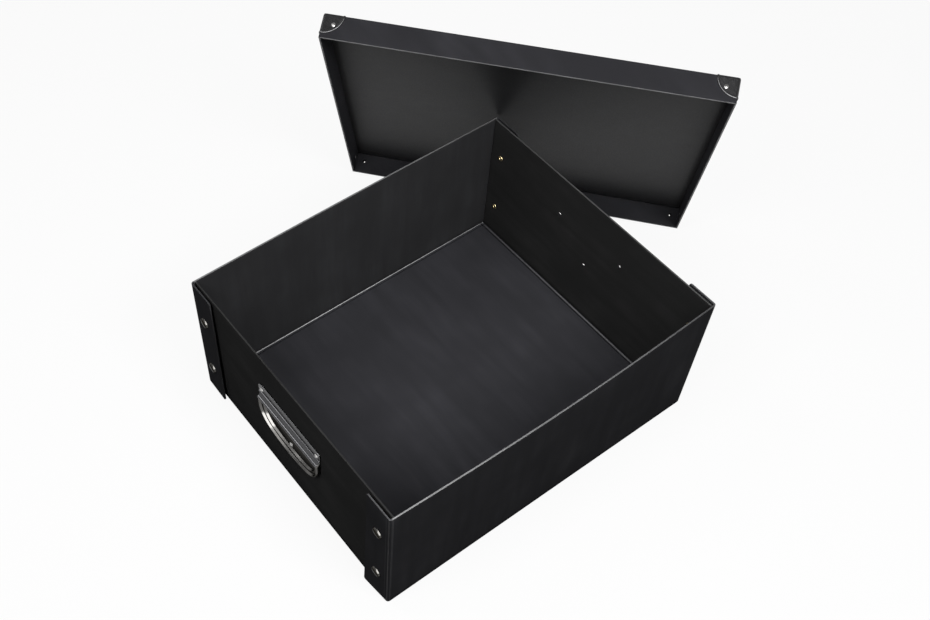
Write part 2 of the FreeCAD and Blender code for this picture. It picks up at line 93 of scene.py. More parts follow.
def make_piece(name, shape, body, nodes, material):
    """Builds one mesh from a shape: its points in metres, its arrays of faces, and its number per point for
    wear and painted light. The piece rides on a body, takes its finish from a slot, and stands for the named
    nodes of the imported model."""
    points, groups, wear_and_painted_light = shape
    mesh = bpy.data.meshes.new(name)
    mesh.from_pydata(points.tolist(), [], sum((group.tolist() for group in groups), []))
    mesh.attributes.new("wear_and_painted_light", "FLOAT", "POINT").data.foreach_set("value", wear_and_painted_light.astype(np.float32))
    mesh.polygons.foreach_set("use_smooth", np.ones(len(mesh.polygons), bool))
    mesh.validate()
    mesh.update()
    mesh.materials.append(material)
    piece = bpy.data.objects.new(name, mesh)
    bpy.context.scene.collection.objects.link(piece)
    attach(piece, body)
    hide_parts(*nodes)
    dressed.update(nodes)
    print(f"{name}: {len(points)} points, {len(mesh.polygons)} faces")


print("pieces still to dress:", len(set(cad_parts) - dressed))

# %% [markdown]
# Nodes in a few words
#
# A finish is a small graph of nodes. Each could be wired by hand in the shader editor. A few helpers make
# the wiring readable: one adds a node, one gives noise in the piece's own coordinates, so that a pattern
# keeps its size and place on every piece, and the rest stretch, combine and mix values.

# %% Node helpers
def new_material(name):
    """A material with its node tree and its main shader."""
    material = bpy.data.materials.new(name)
    material.use_nodes = True
    return material, material.node_tree, material.node_tree.nodes["Principled BSDF"]


def add(tree, kind, settings=(), **inputs):
    """A node with its settings given in pairs and its inputs by name."""
    node = tree.nodes.new(kind)
    for key, value in settings:
        setattr(node, key, value)
    for key, value in inputs.items():
        node.inputs[key].default_value = value
    return node


def noise(tree, scale, stretch=(1, 1, 1), detail=3.0):
    """Noise in object coordinates. A small stretch along an axis draws the pattern out that way."""
    place = add(tree, "ShaderNodeTexCoord")
    mapping = add(tree, "ShaderNodeMapping", Scale=stretch)
    pattern = add(tree, "ShaderNodeTexNoise", Scale=scale, Detail=detail, Roughness=0.55)
    tree.links.new(place.outputs["Object"], mapping.inputs["Vector"])
    tree.links.new(mapping.outputs["Vector"], pattern.inputs["Vector"])
    return pattern.outputs["Fac"]


def remap(tree, value, old, new):
    """Carries a value from its old range to a new one in a straight line, and stops at the ends."""
    node = add(tree, "ShaderNodeMapRange")
    for socket, number in zip(("From Min", "From Max", "To Min", "To Max"), (*old, *new)):
        node.inputs[socket].default_value = number
    tree.links.new(value, node.inputs["Value"])
    return node


def spread(tree, value, low, high):
    """Carries a noise value, which stays near a half, to the range from low to high."""
    return remap(tree, value, (0.3, 0.7), (low, high)).outputs["Result"]


def combine(tree, operation, *values):
    """One sum between two values, each a number or another node's output."""
    node = add(tree, "ShaderNodeMath", [("operation", operation)])
    for socket, value in zip(node.inputs, values):
        if isinstance(value, (int, float)):
            socket.default_value = value
        else:
            tree.links.new(value, socket)
    return node.outputs[0]


def blend_colours(tree, factor, first, second):
    """Mixes two colours, each a fixed colour or another node's output, by a factor."""
    node = add(tree, "ShaderNodeMix", [("data_type", "RGBA")])
    tree.links.new(factor, node.inputs["Factor"])
    sockets = [socket for socket in node.inputs if socket.type == "RGBA"]
    for socket, colour in zip(sockets, (first, second)):
        if isinstance(colour, tuple):
            socket.default_value = (*colour, 1)
        else:
            tree.links.new(colour, socket)
    return next(socket for socket in node.outputs if socket.type == "RGBA")


print("node helpers for Blender", bpy.app.version_string)

# %% [markdown]
# Black board
#
# The blank is solid board covered in near-black paper. Close up, the paper has a fine tooth, soft cloudy
# patches, and faint streaks that run the way it was rolled. Where the board is cut or folded, the paper is
# rubbed pale, and the same pale grey is also a painted highlight where an edge or a crease ridge would catch
# the light. Crease valleys are painted black as shade. A picture of paper could be wrapped round it, but it
# would blur close up. Noise at three sizes keeps its detail, and the stored number mixes in the pale lines
# and the painted crease shade. The paper is dull, so nearly all its light is the colour's own.

# %% The paper's formula
# The pale grey is rubbed wear and also a painted highlight on edges and crease threads; the black is painted
# shade in crease valleys.
PALE_RUB_AND_HIGHLIGHT_GREY, CREASE_SHADE_BLACK = (0.6, 0.6, 0.605), (0.003, 0.003, 0.003)
ALONG_X, ALONG_Z = (0.12, 1, 1), (1, 1, 0.12)
BOARD_ROUGH, LID_ROUGH = 0.6, 0.5
STREAK_SCALE, CLOUD_SCALE, PALE_PATCH_SCALE, TOOTH_SCALE, TOOTH_DEPTH = 60.0, 14.0, 90.0, 900.0, 0.12 * MM


def black_board(name, grain, dark, light, rough, sheen):
    """Streaks times clouds run the colour from dark to light. The stored number above nothing mixes in the
    pale grey, in patches: rubbed wear and painted highlight. Below nothing it mixes in black, painted shade
    in the creases. The tooth moves the roughness and the bump."""
    material, tree, shader = new_material(name)
    streak = spread(tree, noise(tree, STREAK_SCALE, grain, 4.0), 0, 1)
    cloud = spread(tree, noise(tree, CLOUD_SCALE, detail=2.0), 0, 1)
    paper = blend_colours(tree, combine(tree, "MULTIPLY", streak, cloud), dark, light)
    wear_and_painted_light = add(tree, "ShaderNodeAttribute", [("attribute_name", "wear_and_painted_light")]).outputs["Fac"]
    # Painted shade in the creases, then rubbed wear and painted highlight in patches.
    crease_shaded = blend_colours(tree, combine(tree, "MULTIPLY", wear_and_painted_light, -1.0), paper, CREASE_SHADE_BLACK)
    patchy = spread(tree, noise(tree, PALE_PATCH_SCALE), 0.7, 1.0)
    rubbed_and_highlit = blend_colours(tree, combine(tree, "MULTIPLY", wear_and_painted_light, patchy), crease_shaded, PALE_RUB_AND_HIGHLIGHT_GREY)
    tree.links.new(rubbed_and_highlit, shader.inputs["Base Color"])
    tooth = noise(tree, TOOTH_SCALE, detail=2.0)
    tree.links.new(spread(tree, tooth, rough - 0.06, rough + 0.08), shader.inputs["Roughness"])
    bump = add(tree, "ShaderNodeBump", Strength=0.25, Distance=TOOTH_DEPTH)
    tree.links.new(tooth, bump.inputs["Height"])
    tree.links.new(bump.outputs["Normal"], shader.inputs["Normal"])
    shader.inputs["Specular IOR Level"].default_value = sheen
    print(f"{name}: from {dark} to {light}")
    return material


# %% Boards
wall_board = black_board("wall_board", ALONG_Z, (0.0285, 0.0285, 0.0308), (0.041, 0.041, 0.0445),
                         BOARD_ROUGH, 0)
# The left wall's paper is a lighter copy of the wall paper, because more light falls on it there: painted
# light.
left_wall_lit_board = black_board("left_wall_lit_board", ALONG_Z, (0.04, 0.04, 0.042), (0.057, 0.057, 0.0605),
                           BOARD_ROUGH, 0)
end_board = black_board("end_board", ALONG_X, (0.0285, 0.0285, 0.0285), (0.041, 0.041, 0.041),
                        BOARD_ROUGH, 0)
floor_board = black_board("floor_board", ALONG_X, (0.032, 0.032, 0.0357), (0.0465, 0.0465, 0.0529),
                          BOARD_ROUGH, 0)
lid_board = black_board("lid_board", ALONG_X, (0.0116, 0.0116, 0.0125), (0.0172, 0.0172, 0.0185),
                        LID_ROUGH, 0.2)
skirt_board = black_board("skirt_board", ALONG_X, (0.02, 0.02, 0.0228), (0.029, 0.029, 0.033),
                          LID_ROUGH, 0.05)
print("boards made: 6")

# %% [markdown]
# Plated metal
#
# The studs, rivets, handles and lid corners are thin steel with a dark bright plating, and the eyelets are
# brass. A mirror-like metal would look new and false. A plating that is handled shows a slight haze and
# fine rubbing marks, so the colour and the roughness wander a little. The plating is one finish, but each
# part gets its own darkness and its own tint towards a grazing view, so that it shows the dark or bright
# surroundings it reflects there: painted reflection. The shader's tint sets how much brightening is left
# where the view skims the metal.

# %% Metals
HAZE_SCALE, MARK_SCALE, MARKS_ALONG = 120.0, 700.0, (0.06, 1, 1)


def plated(name, colour, dull, rough, skimmed):
    """Haze runs the colour from bright to dull, and drawn-out marks move the roughness. Skimmed is how much
    light is left towards a grazing view."""
    material, tree, shader = new_material(name)
    shader.inputs["Metallic"].default_value = 1.0
    shader.inputs["Specular Tint"].default_value = (skimmed, skimmed, skimmed, 1)
    haze = spread(tree, noise(tree, HAZE_SCALE), 0, 1)
    tree.links.new(blend_colours(tree, haze, colour, dull), shader.inputs["Base Color"])
    marks = noise(tree, MARK_SCALE, MARKS_ALONG, 2.0)
    tree.links.new(spread(tree, marks, rough - 0.03, rough + 0.05), shader.inputs["Roughness"])
    print(f"{name}: from {colour} to {dull}, roughness near {rough}")
    return material


# Copies of one plating, darker or lighter per part, as painted reflection of their surroundings.
strip_nickel = plated("strip_nickel", (0.085, 0.085, 0.088), (0.073, 0.073, 0.076), 0.18, 0.65)
moon_nickel = plated("moon_nickel", (0.13, 0.127, 0.122), (0.11, 0.107, 0.103), 0.2, 0.28)
stud_nickel = plated("stud_nickel", (0.085, 0.082, 0.077), (0.07, 0.0675, 0.0635), 0.11, 0.3)
corner_steel = plated("corner_steel", (0.095, 0.0945, 0.097), (0.075, 0.0745, 0.0765), 0.2, 0.5)
lid_rivet_steel = plated("lid_rivet_steel", (0.32, 0.315, 0.31), (0.24, 0.235, 0.23), 0.2, 0.5)
handle_rivet_steel = plated("handle_rivet_steel", (0.48, 0.475, 0.465), (0.36, 0.356, 0.347), 0.2, 0.7)
eyelet_brass = plated("eyelet_brass", (0.85, 0.71, 0.41), (0.66, 0.53, 0.3), 0.32, 0.8)

# %% [markdown]
# A panel of the blank
#
# Every part of the blank is a flat board with eased edges, and some turn a corner. A scaled block with a
# bevel would do for a plain wall, but not for a fold. Here the middle of the board is a path, straight or
# with one quarter turn, carried sideways, and its two faces stand half a thickness to either side. Near a
# cut edge the faces close over it in a rounded square, so the edge catches a thread of light as the real
# one does. A seam between two panels of the same sheet stays sharp, so that it hardly shows.

# %% Steps and lines
BOARD, CUT, SEAM = 1.8 * MM, 0.55 * MM, 0.04 * MM


def steps_between(length, count, first, last, extra):
    """Distances from 0 to length, crowded within each end's edge radius, with more wherever asked."""
    close = 1 - np.cos(np.linspace(0, np.pi / 2, 6))
    parts = [first * close, np.linspace(first, length - last, count), length - last * close, *extra]
    return np.unique(np.clip(np.concatenate(parts), 0, length).round(8))


def line_steps(marks):
    """Distances crowded round each line, so that its shape shows."""
    return [place + width * np.linspace(-2.4, 2.4, 13) for place, width, _ in marks]


def lines(distance, marks):
    """The sum of soft bumps: each mark has a place, a width and a height, and falls away as a bell
    curve."""
    return sum((strong * np.exp(-((distance - place) / width) ** 2) for place, width, strong in marks),
               0 * distance)


def both_ends(length, place, width, strong):
    """One line near each end of a length."""
    return [(gap, width, strong) for gap in (place, length - place)]


def edge_round(distance, radius):
    """How much of the thickness is left at a distance from an edge: the outline of a rounded square end."""
    short = 1 - np.clip(distance / radius, 0, 1)
    return (1 - short ** 3) ** (1 / 3)


print("thickness left halfway into a cut edge:", edge_round(CUT / 2, CUT).round(3))

# %% Face, back and path
def closed_sheet(face, back, wear_and_painted_light):
    """A face grid and a back grid with a common border, as one closed skin."""
    rows, columns = face.shape[:2]
    index = np.arange(rows * columns).reshape(rows, columns)
    under = index.copy()
    inner = (rows - 2) * (columns - 2)
    under[1:-1, 1:-1] = np.arange(inner).reshape(rows - 2, columns - 2) + rows * columns
    points = np.concatenate([face.reshape(-1, 3), back[1:-1, 1:-1].reshape(-1, 3)])
    marks = np.concatenate([wear_and_painted_light.ravel(), wear_and_painted_light[1:-1, 1:-1].ravel()])
    return points, [quads(index), quads(under)[:, ::-1]], marks


def bent_path(u, first, radius, heading, turning):
    """A path that runs along heading for first, takes a quarter circle of the radius towards turning, and
    runs on. Gives its points, its normals, and how far each point is past the turn."""
    turn = np.clip((u - first) / radius, 0, np.pi / 2) if radius else 0 * u
    after = np.maximum(u - first - np.pi / 2 * radius, 0)
    ahead = np.minimum(u, first) + radius * np.sin(turn)
    aside = radius * (1 - np.cos(turn)) + after
    normal = -np.sin(turn)[..., None] * heading + np.cos(turn)[..., None] * turning
    return ahead[..., None] * heading + aside[..., None] * turning, normal, after


LEAN_TOP = 0.75


def stand_off(along, up):
    """How far a flap leans out, as a share: it grows evenly from the fold to the free edge and fades with
    height."""
    return along * np.clip(1 - up / LEAN_TOP, 0, 1)


print("a quarter turn of 2 mm ends at", bent_path(np.array([np.pi * MM]), 0, 2 * MM, X, Z)[0].round(5))

# %% The panel's formula
PALE_EDGE_DEEP, PALE_EDGE_RUN, SINK_FROM = 1.3, 0.5 * CUT, 0.8


def board(origin, heading, turning, sideways, first, second=0.0, radius=0.0, edges=(SEAM,) * 4,
          worn_and_lit=(0,) * 4, counts=(40, 24), scores_and_shade=(), cross_scores_and_shade=(), rubs_and_highlights=(), cross_rubs_and_highlights=(), fade=0.0,
          bow=0.0, belly=0.0, corner=0.0, flare=0.0):
    """A bent path carried along sideways, half a thickness to either side. Edges gives the rounding at the
    path's start and end and at the sideways start and end, and worn how pale each is made, as rubbed wear
    and as painted highlight. Scores are valleys in the face on the turning side, also painted black as
    shade, and rubs are pale lines of wear and painted highlight, across the path or, with cross, along it.
    Pale lines and edges fade along sideways, and cross lines fade away from the path's end. The bow is a
    half wave both ways, and the belly only a quarter wave along the path, so it is greatest at the path's
    free end. There the corners are round, and a flare leans the lower one out."""
    origin, sideways = np.array(origin, float), np.array(sideways, float)
    width, total = np.linalg.norm(sideways), first + np.pi / 2 * radius + second
    close = [np.linspace(first, total - second, 13), np.linspace(total - corner, total, 9)]
    u = steps_between(total, counts[0], *edges[:2], close + line_steps([*scores_and_shade, *rubs_and_highlights]))[:, None]
    v = steps_between(width, counts[1], *edges[2:], line_steps([*cross_scores_and_shade, *cross_rubs_and_highlights]))[None, :]
    path, normal, after = bent_path(u, first, radius, heading, turning)
    past = np.clip(1 - (total - u) / corner, 0, 1) if corner else 0 * u
    inset = corner * (1 - np.sqrt(1 - past ** 2))
    across = (inset + v * (1 - 2 * inset / width)) / width
    wave = bow * np.sin(np.pi * u / total) + belly * np.sin(np.pi / 2 * u / total)
    swell = wave * np.sin(np.pi * across) - flare * stand_off(after / total, across)
    middle = origin + path + across[..., None] * sideways + swell[..., None] * normal
    gaps = np.broadcast_arrays(u, total - u, v, width - v)
    left = np.min([edge_round(gap, edge) for gap, edge in zip(gaps, edges)], axis=0)
    score_and_shade = lines(u, scores_and_shade) + lines(v, cross_scores_and_shade)
    kept = 1 - fade * across
    # Pale lines and edges are part rubbed wear and part painted highlight; the scores' negative values paint
    # shade into the crease valleys.
    rub_and_highlight = lines(u, rubs_and_highlights) * kept + lines(v, cross_rubs_and_highlights) * (1 - fade * (1 - u / total))
    ends = [np.clip(PALE_EDGE_DEEP - gap / PALE_EDGE_RUN, 0, 1) * mark * kept for gap, mark in zip(gaps, worn_and_lit)]
    wear_and_painted_light = np.max([*ends, rub_and_highlight], axis=0) - score_and_shade / MM
    half = BOARD / 2 * left[..., None]
    sunk = np.where(left > SINK_FROM, score_and_shade, 0)[..., None]
    points, groups, marks = closed_sheet(middle + (half - sunk) * normal, middle - half * normal, wear_and_painted_light)
    outward = np.dot(np.cross(heading, sideways), turning) > 0
    return points, groups if outward else turn_over(groups), marks


print("points in a plain panel:", len(board((0, 0, 0), X, Z, Y, 1.0)[0]))

# %% [markdown]
# The floor
#
# The floor is the middle of the blank, and the walls fold up from it. Along each side runs a crease: a
# pressed valley painted black, a painted shade, and beside it a pale thread, a painted highlight where the
# crease's ridge would shine in good light, fading towards the back. The creases could be painted only, but
# a valley also shades, so they are also sunk into the floor's face.

# %% Floor
INSIDE_X, FLOOR_Y = np.array(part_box("floor_panel")[1])[:2]
# Each line has a place, a width and a strength.
# The threads are painted highlights; the valleys are sunk and also painted black as shade.
SIDE_VALLEY, SIDE_THREAD = (3.7 * MM, 0.5 * MM, 0.6 * MM), (0.6 * MM, 0.42 * MM, 2.0)
END_VALLEY, INNER_VALLEY = (0.2 * MM, 0.4 * MM, 0.6 * MM), (3.9 * MM, 0.6 * MM, 0.8 * MM)
END_THREAD, THREAD_FADE = (2.0 * MM, 0.9 * MM, 0.3), 0.7
floor = board((-INSIDE_X, -FLOOR_Y, BOARD / 2), X, Z, 2 * FLOOR_Y * Y, 2 * INSIDE_X, fade=THREAD_FADE,
              scores_and_shade=both_ends(2 * INSIDE_X, *SIDE_VALLEY), rubs_and_highlights=both_ends(2 * INSIDE_X, *SIDE_THREAD),
              cross_scores_and_shade=both_ends(2 * FLOOR_Y, *END_VALLEY) + both_ends(2 * FLOOR_Y, *INNER_VALLEY),
              cross_rubs_and_highlights=both_ends(2 * FLOOR_Y, *END_THREAD))
make_piece("box_floor", floor, "base", ["floor_panel"], floor_board)
print("floor inside:", 2 * INSIDE_X, "by", 2 * FLOOR_Y)

# %% [markdown]
# The side walls
#
# The two long walls rise from the floor and never move. Their top edges are cut and made pale, as rubbed
# wear and as a painted highlight, palest on the right one, which faces the light. Held only at its ends
# and its foot, a long wall bellies out at the top, the right one by four millimetres in the photograph. A
# dead flat wall would look like plastic.

# %% Side walls
wall_low, wall_high = (np.array(value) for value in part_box("left_side_wall"))
HALF_WIDTH, WALL_Y, HEIGHT = -wall_low[0], wall_high[1], wall_high[2]
FOLD_RUB = both_ends(2 * WALL_Y, 0.7 * MM, 0.5 * MM, 0.09)
# Side, direction, the top edge's rub and painted highlight and how much of it fades, the belly, and the
# paper, which on the left is a lighter copy as painted light.
LEFT_WALL = ("left", -1, 0.28, 0.35, 1.0 * MM, left_wall_lit_board)
RIGHT_WALL = ("right", 1, 0.52, 0.85, 4.2 * MM, wall_board)
for side, sign, rub_and_highlight, fade, belly, paper in (LEFT_WALL, RIGHT_WALL):
    wall = board((sign * (HALF_WIDTH - BOARD / 2), -WALL_Y, 0), Z, -sign * X, 2 * WALL_Y * Y, HEIGHT,
                 edges=(SEAM, CUT, SEAM, SEAM), worn_and_lit=(0, rub_and_highlight, 0, 0), counts=(24, 50),
                 fade=fade, belly=-belly, cross_rubs_and_highlights=FOLD_RUB)
    make_piece(f"{side}_wall", wall, "base", [f"{side}_side_wall"], paper)
print("side walls:", HEIGHT, "high")

# %% [markdown]
# The end walls
#
# Each end wall carries a handle, and folds in on to the floor when the studs are let go, so it is a piece
# of its own that rides on the fold. It is the same panel with three cut edges. It could share a mesh with
# the floor and bend, but a board folds only at its crease.

# %% End walls
END_INNER, END_HALF = 194.0 * MM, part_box("rear_end_wall")[1][0]
# The top edges' pale line is rubbed wear and painted highlight, left out at the front, where the light does
# not catch the edge.
END_SIDE_RUB, END_TOP_RUB_AND_HIGHLIGHT = 0.07, {"front": 0.0, "rear": 0.09}
ENDS = (("front", -1), ("rear", 1))
for end, sign in ENDS:
    wall = board((-END_HALF, sign * (END_INNER + BOARD / 2), 0), Z, -sign * Y, 2 * END_HALF * X, HEIGHT,
                 edges=(SEAM, CUT, CUT, CUT), counts=(24, 50),
                 worn_and_lit=(0, END_TOP_RUB_AND_HIGHLIGHT[end], END_SIDE_RUB, END_SIDE_RUB))
    make_piece(f"{end}_wall", wall, f"{end}_wall", [f"{end}_end_wall"], end_board)
print("end walls:", 2 * END_HALF, "wide")

# %% [markdown]
# Corner flaps
#
# Each flap is the end of a long wall, scored and folded round the corner. The fold is a quarter turn of the
# board with a faint pressed line to either side, and the free edge is cut with round corners. On the real
# box the near flaps lean off the end wall at the foot, where no stud holds them, so those two get a flare.
# Bending the mesh with a modifier would bend the fold too, and the formula moves only the leaf.

# %% Flaps
SIDES = (("left", -1), ("right", 1))
FOLD_MIDDLE, FLAP_REACH, FLAP_CORNER = 2.1 * MM, 32.0 * MM, 3.0 * MM
FOLD_LINES = [(0.2 * MM, 0.35 * MM, 0.08), (2.4 * MM, 0.4 * MM, 0.12), (5.6 * MM, 0.4 * MM, 0.045)]
FLAP_FLARE = {("front", "right"): 3.2 * MM, ("front", "left"): 0.8 * MM}
# The flaps' top edges are pale as rubbed wear and painted highlight, less on the left, where the light does
# not catch them.
FLAP_EDGE_RUB, FLAP_FOOT_RUB, FLAP_TOP_RUB_AND_HIGHLIGHT = 0.05, 0.1, {"left": 0.02, "right": 0.1}
for end, ahead in ENDS:
    for side, sign in SIDES:
        start = (sign * (HALF_WIDTH - BOARD / 2), ahead * WALL_Y, 0)
        flap = board(start, ahead * Y, -sign * X, HEIGHT * Z, 0.0, FLAP_REACH, FOLD_MIDDLE,
                     edges=(SEAM, CUT, CUT, CUT), counts=(20, 30), rubs_and_highlights=FOLD_LINES, corner=FLAP_CORNER,
                     worn_and_lit=(0, FLAP_EDGE_RUB, FLAP_FOOT_RUB, FLAP_TOP_RUB_AND_HIGHLIGHT[side]),
                     flare=FLAP_FLARE.get((end, side), 0.0))
        make_piece(f"{end}_{side}_corner_flap", flap, "base", [f"{end}_{side}_flap"],
                   wall_board)
print("flaps reach", FLAP_REACH + FOLD_MIDDLE, "round the corner")

# %% [markdown]
# Stud caps
#
# Two press studs hold each corner. Outside, a stud shows its cap: a thin disc with a rolled rim, a bevel
# and a low dome, which throws one small glint. Half a squashed ball would lose the bevel. A lathe profile,
# radius against height, keeps it, and goes round the axis in one grid.

# %% Caps
OFF_AXIS = (0.31, 0.52, 0.79)


def turned(profile, centre, axis, sides):
    """A lathe shape: each profile point, a radius and a height, goes round the axis in a circle. The first
    and last points lie on the axis and close the shape."""
    radius, height = profile.T
    side = np.cross(axis, OFF_AXIS)
    side /= np.linalg.norm(side)
    angle = np.linspace(0, 2 * np.pi, sides, endpoint=False)
    ring = np.cos(angle)[:, None] * side + np.sin(angle)[:, None] * np.cross(axis, side)
    body = radius[1:-1, None, None] * ring + height[1:-1, None, None] * axis
    points = np.concatenate([body.reshape(-1, 3), height[[0, -1], None] * axis]) + np.array(centre, float)
    index = np.arange(body.shape[0] * sides).reshape(-1, sides)
    index = np.concatenate([index, index[:, :1]], axis=1)
    low_tip, high_tip = len(points) - 2, len(points) - 1
    groups = [quads(index)[:, ::-1], fan(index[0], low_tip)[:, ::-1], fan(index[-1], high_tip)]
    return points, groups, np.zeros(len(points))


def dome(rim, rise, base):
    """A low dome's profile, from near its rim to the axis: the height falls with the square of the
    radius."""
    radius = np.linspace(0.96 * rim, 0, 11)
    return np.stack([radius, base + rise * (1 - (radius / rim) ** 2)], axis=1)


CAP_RIM = [(0, -0.3), (5.6, -0.3), (6.1, -0.1), (6.25, 0.12), (6.2, 0.3), (5.62, 1.5), (5.5, 1.66)]
CAP = np.concatenate([CAP_RIM, dome(5.5, 0.5, 1.68)]) * MM
HALF_LENGTH, CAP_SIDES = 200 * MM, 40
STUD_ACROSS, STUD_HEIGHTS, STUD_ALONG_FLAP = 147.5 * MM, (43 * MM, 122 * MM), 0.45
for end, ahead in ENDS:
    for side, sign in SIDES:
        lean = FLAP_FLARE.get((end, side), 0.0)
        outer = {z: HALF_LENGTH + lean * stand_off(STUD_ALONG_FLAP, z / HEIGHT) for z in STUD_HEIGHTS}
        seats = [(sign * STUD_ACROSS, ahead * outer[z], z) for z in STUD_HEIGHTS]
        caps = join([turned(CAP, seat, ahead * Y, CAP_SIDES) for seat in seats])
        make_piece(f"{end}_{side}_caps", caps, "base", [f"{end}_{side}_stud_caps"], stud_nickel)
print("cap across:", 2 * CAP[:, 0].max())

# %% [markdown]
# Brass eyelets
#
# Inside the box, each stud shows only the rolled ring of its eyelet, with a dark hole in the middle. A
# torus would float on the wall. The lathe profile rolls over the ring, goes down the hole and comes back
# behind, so the ring is one closed shape that sits in the board. The eyelets ride on the end walls, as the
# posts do.

# %% Eyelets
EYELET = np.array([(0, -1.3), (3.2, -0.1), (3.3, 0), (3.2, 0.2), (2.85, 0.52), (2.4, 0.66), (1.95, 0.62),
                   (1.6, 0.42), (1.5, 0.1), (1.5, -1.0), (1.3, -1.2), (0, -1.2)]) * MM
EYELET_SIDES = 28
for end, ahead in ENDS:
    for side, sign in SIDES:
        seats = [(sign * STUD_ACROSS, ahead * END_INNER, z) for z in STUD_HEIGHTS]
        rings = join([turned(EYELET, seat, -ahead * Y, EYELET_SIDES) for seat in seats])
        make_piece(f"{end}_{side}_eyelets", rings, f"{end}_wall", [f"{end}_{side}_stud_eyelets"],
                   eyelet_brass)
print("eyelet across:", 2 * EYELET[:, 0].max())

# %% [markdown]
# The grip strip
#
# The finger grip is two pressings under common rivets. The upper one is a strip of thin metal, flat under
# its rivets, then pressed into a bead, a groove and a hollow that sweeps out to a lip for the fingers.
# Stacked blocks would give steps, not bends. Here a broken line in the upright plane has its corners eased
# by averaging, and is carried across the box, narrowing towards the lip. Each bend then catches its own
# thread of light.

# %% The strip's section
HANDLE_Z, STRIP_SHEET, PLATE_SEAT = 118.0 * MM, 0.9 * MM, END_INNER + BOARD
PLATE_SHEET = 0.8  # in millimetres, as all the plate's numbers are
STRIP_SEAT = PLATE_SEAT + PLATE_SHEET * MM
STRIP_HALF, LIP_HALF, STRIP_CORNER, STRIP_TOP = 52.5 * MM, 50 * MM, 6 * MM, 8 * MM
SLOPE_HEIGHTS, STRIP_EDGE, STRIP_POINTS, EASING_PASSES = (-13 * MM, -1 * MM), 0.4 * MM, 170, 3
hollow = np.linspace(0, np.radians(78), 20)
STRIP_BENDS = np.concatenate([[(0.45, 8.0), (0.45, -4.5), (1.6, -4.92), (1.6, -5.6), (0.6, -6.5)],
                              np.stack([4.75 - 4.15 * np.cos(hollow), -7.0 - 4.5 * np.sin(hollow)], axis=1),
                              [(4.75, -11.8), (4.75, -13.0)]]) * MM


def run_along(path):
    """How far along a path each of its points is."""
    return np.concatenate([[0], np.cumsum(np.linalg.norm(np.diff(path, axis=0), axis=1))])


def smooth_path(corners, count, passes):
    """Points evenly along a broken line, with its corners eased by averaging each point with its
    neighbours, again and again, while the two ends stay."""
    gaps = run_along(corners)
    places = np.linspace(0, gaps[-1], count)
    path = np.stack([np.interp(places, gaps, corners[:, axis]) for axis in (0, 1)], axis=1)
    for _ in range(passes):
        path[1:-1] = (path[:-2] + 2 * path[1:-1] + path[2:]) / 4
    return path


def strip_half_width(height):
    """Half the strip's width at a height above its rivets: rounded top corners, then straight, then a slope
    in towards the lip."""
    past = np.clip((height - STRIP_TOP) / STRIP_CORNER + 1, 0, 1)
    top = STRIP_HALF - STRIP_CORNER * (1 - np.sqrt(1 - past ** 2))
    return np.minimum(top, np.interp(height, SLOPE_HEIGHTS, (LIP_HALF, STRIP_HALF)))


strip_path = smooth_path(STRIP_BENDS, STRIP_POINTS, EASING_PASSES)
print("metal in the strip's section:", run_along(strip_path)[-1].round(5))

# %% Grip strips
def grip_strip(sign):
    """The section stands out from the wall by depth and height, and each of its points runs across the box
    by the strip's width there. Half the sheet's thickness to either side gives face and back."""
    slope = np.gradient(strip_path, axis=0)
    slope /= np.linalg.norm(slope, axis=1)[:, None]
    out = np.stack([-slope[:, 1], slope[:, 0]], axis=1)
    run = run_along(strip_path)
    near_edge = np.array([0.992, 0.996, 0.9985, 1])
    across = np.concatenate([-near_edge[::-1], np.linspace(-0.985, 0.985, 60), near_edge])[None, :]
    reach = strip_half_width(strip_path[:, 1])[:, None]
    wide = reach * across
    edge = np.minimum(np.minimum(run, run[-1] - run)[:, None], reach * (1 - np.abs(across)))
    half = STRIP_SHEET / 2 * edge_round(edge, STRIP_EDGE)

    def skin(offset):
        depth, height = (strip_path[:, [axis]] + offset * out[:, [axis]] for axis in (0, 1))
        return np.stack([wide, sign * (STRIP_SEAT + depth), HANDLE_Z + height], axis=-1)

    points, groups, marks = closed_sheet(skin(half), skin(-half), 0 * wide)
    return points, groups if sign < 0 else turn_over(groups), marks


for end, sign in ENDS:
    make_piece(f"{end}_grip", grip_strip(sign), f"{end}_wall", [f"{end}_grip_strip"],
               strip_nickel)

# %% [markdown]
# The finger plate
#
# Below the strip sits a half moon plate that keeps fingernails off the board. Its edge is rolled into a
# rim, which steps down to the plate by a ledge. The two steep walls flash side by side when the light comes
# from the right, and a flat plate with a bevel would never flash like that. Each point has an angle and a
# distance in from the outline, so rim and ledge follow the edge all the way round and fade out under the
# lip.

# %% Half moon outline
PLATE_HALF, PLATE_LOW, PLATE_TOP, PLATE_MIDDLE = 51.0, -54.0, 6.0, -26.0
PLATE_CORNER, PLATE_BOW, PLATE_ANGLES = 26.0, 4.0, 160


